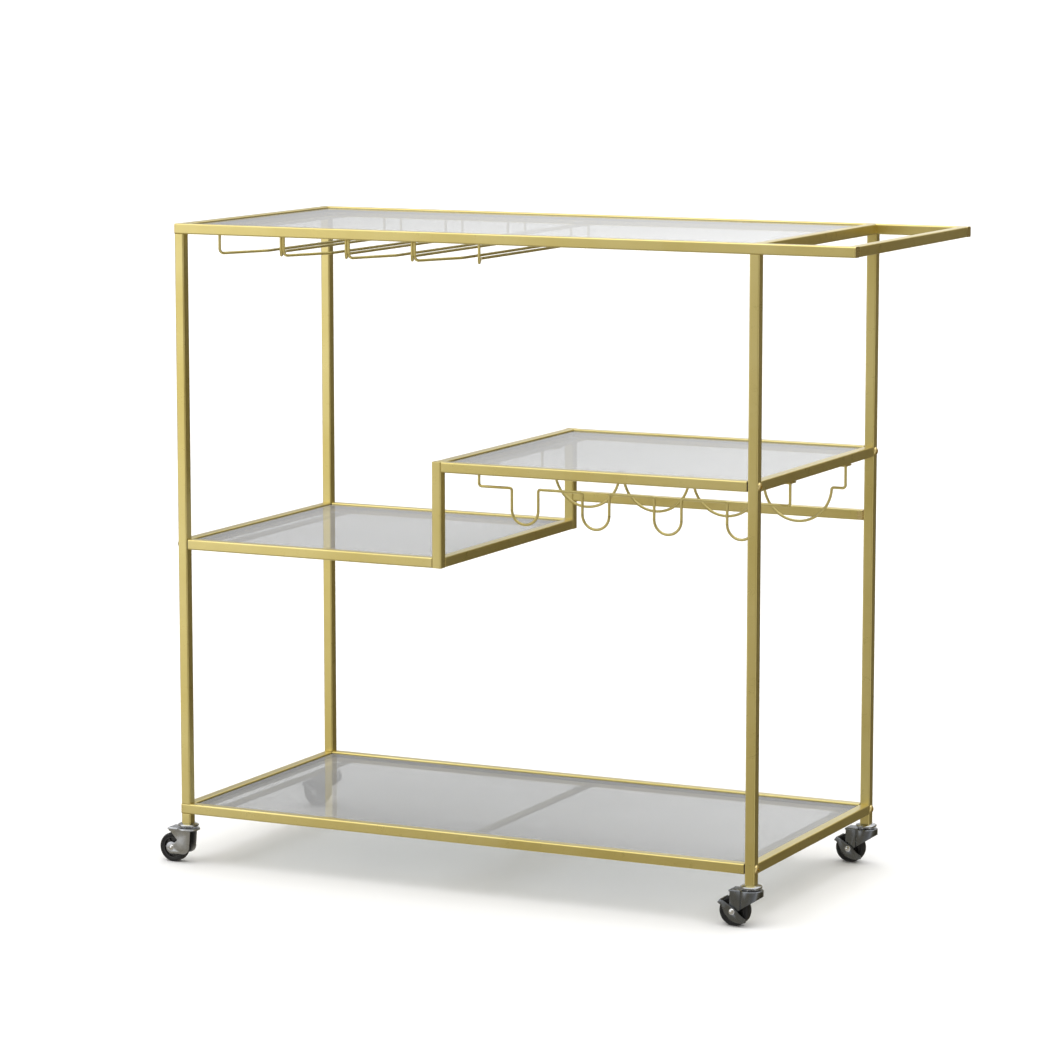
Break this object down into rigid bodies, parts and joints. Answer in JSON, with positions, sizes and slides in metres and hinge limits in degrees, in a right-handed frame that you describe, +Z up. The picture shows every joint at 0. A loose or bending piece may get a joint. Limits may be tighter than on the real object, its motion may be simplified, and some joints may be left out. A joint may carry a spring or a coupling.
{
  "type": "bar cart on wheels",
  "caption": "Gold square-tube bar cart with glass shelves at three heights, a stepped middle shelf, a wire stemware rack, a wire wine rack, a bar handle and small swivel casters.",
  "frame": {"origin": "on the floor, under the middle of the whole cart's box", "axes": "+X along the cart towards the handle, +Y to the rear, +Z up"},
  "size_m": [0.955, 0.411, 0.826],
  "materials": {
    "gold_frame": "satin champagne gold",
    "clear_glass": "clear tempered glass",
    "clear_pads": "soft clear",
    "dark_plugs": "matte black",
    "gold_bolts": "satin gold",
    "caster_steel": "zinc plated",
    "ball_steel": "polished",
    "black_wheel": "matte black"
  },
  "bodies": {
    "cart": {"top_front_rail": "gold_frame", "top_rear_rail": "gold_frame", "top_left_rail": "gold_frame", "top_cross_rail": "gold_frame", "handle_bar": "gold_frame", "front_left_post": "gold_frame", "rear_left_post": "gold_frame", "front_right_post": "gold_frame", "rear_right_post": "gold_frame", "bottom_front_rail": "gold_frame", "bottom_rear_rail": "gold_frame", "bottom_left_rail": "gold_frame", "bottom_right_rail": "gold_frame", "front_left_leg": "gold_frame", "rear_left_leg": "gold_frame", "low_shelf_front_rail": "gold_frame", "low_shelf_rear_rail": "gold_frame", "low_shelf_left_rail": "gold_frame", "low_shelf_right_rail": "gold_frame", "high_shelf_front_rail": "gold_frame", "high_shelf_rear_rail": "gold_frame", "high_shelf_left_rail": "gold_frame", "high_shelf_right_rail": "gold_frame", "front_stub": "gold_frame", "rear_stub": "gold_frame", "back_rail": "gold_frame", "top_glass": "clear_glass", "low_shelf_glass": "clear_glass", "high_shelf_glass": "clear_glass", "bottom_glass": "clear_glass", "glass_bars": "gold_frame", "glass_pads": "clear_pads", "stemware_slot_1": "gold_frame", "stemware_slot_2": "gold_frame", "stemware_slot_3": "gold_frame", "stemware_slot_4": "gold_frame", "neck_wire": "gold_frame", "body_wire": "gold_frame", "wine_rack_tabs": "gold_frame", "shelf_bolts": "gold_bolts", "threaded_plugs": "dark_plugs", "rail_end_caps": "gold_frame", "leg_inserts": "dark_plugs", "caster_stems": "caster_steel", "caster_balls": "ball_steel"},
    "front_left_swivel": {"front_left_fork": "caster_steel", "front_left_axle": "caster_steel"},
    "front_left_wheel": {"front_left_wheel": "black_wheel"},
    "front_right_swivel": {"front_right_fork": "caster_steel", "front_right_axle": "caster_steel"},
    "front_right_wheel": {"front_right_wheel": "black_wheel"},
    "front_right_brake": {"front_right_brake_lever": "caster_steel"},
    "rear_left_swivel": {"rear_left_fork": "caster_steel", "rear_left_axle": "caster_steel"},
    "rear_left_wheel": {"rear_left_wheel": "black_wheel"},
    "rear_left_brake": {"rear_left_brake_lever": "caster_steel"},
    "rear_right_swivel": {"rear_right_fork": "caster_steel", "rear_right_axle": "caster_steel"},
    "rear_right_wheel": {"rear_right_wheel": "black_wheel"},
    "rear_right_brake": {"rear_right_brake_lever": "caster_steel"}
  },
  "joints": [
    {"name": "front_left_swivel_turn", "type": "hinge", "parent": "cart", "child": "front_left_swivel", "pos_m": [-0.438, -0.1905, 0.0465], "axis": [0, 0, 1], "continuous": true},
    {"name": "front_left_wheel_spin", "type": "hinge", "parent": "front_left_swivel", "child": "front_left_wheel", "pos_m": [-0.4585, -0.1905, 0.019], "axis": [0, 1, 0], "continuous": true},
    {"name": "front_right_swivel_turn", "type": "hinge", "parent": "cart", "child": "front_right_swivel", "pos_m": [0.35, -0.1905, 0.0465], "axis": [0, 0, 1], "continuous": true},
    {"name": "front_right_wheel_spin", "type": "hinge", "parent": "front_right_swivel", "child": "front_right_wheel", "pos_m": [0.3295, -0.1905, 0.019], "axis": [0, 1, 0], "continuous": true},
    {"name": "front_right_brake_press", "type": "hinge", "parent": "front_right_swivel", "child": "front_right_brake", "pos_m": [0.3295, -0.1905, 0.019], "axis": [0, -1, 0], "range_deg": [0, 15]},
    {"name": "rear_left_swivel_turn", "type": "hinge", "parent": "cart", "child": "rear_left_swivel", "pos_m": [-0.438, 0.1905, 0.0465], "axis": [0, 0, 1], "continuous": true},
    {"name": "rear_left_wheel_spin", "type": "hinge", "parent": "rear_left_swivel", "child": "rear_left_wheel", "pos_m": [-0.4585, 0.1905, 0.019], "axis": [0, 1, 0], "continuous": true},
    {"name": "rear_left_brake_press", "type": "hinge", "parent": "rear_left_swivel", "child": "rear_left_brake", "pos_m": [-0.4585, 0.1905, 0.019], "axis": [0, -1, 0], "range_deg": [0, 15]},
    {"name": "rear_right_swivel_turn", "type": "hinge", "parent": "cart", "child": "rear_right_swivel", "pos_m": [0.35, 0.1905, 0.0465], "axis": [0, 0, 1], "continuous": true},
    {"name": "rear_right_wheel_spin", "type": "hinge", "parent": "rear_right_swivel", "child": "rear_right_wheel", "pos_m": [0.3295, 0.1905, 0.019], "axis": [0, 1, 0], "continuous": true},
    {"name": "rear_right_brake_press", "type": "hinge", "parent": "rear_right_swivel", "child": "rear_right_brake", "pos_m": [0.3295, 0.1905, 0.019], "axis": [0, -1, 0], "range_deg": [0, 15]}
  ]
}
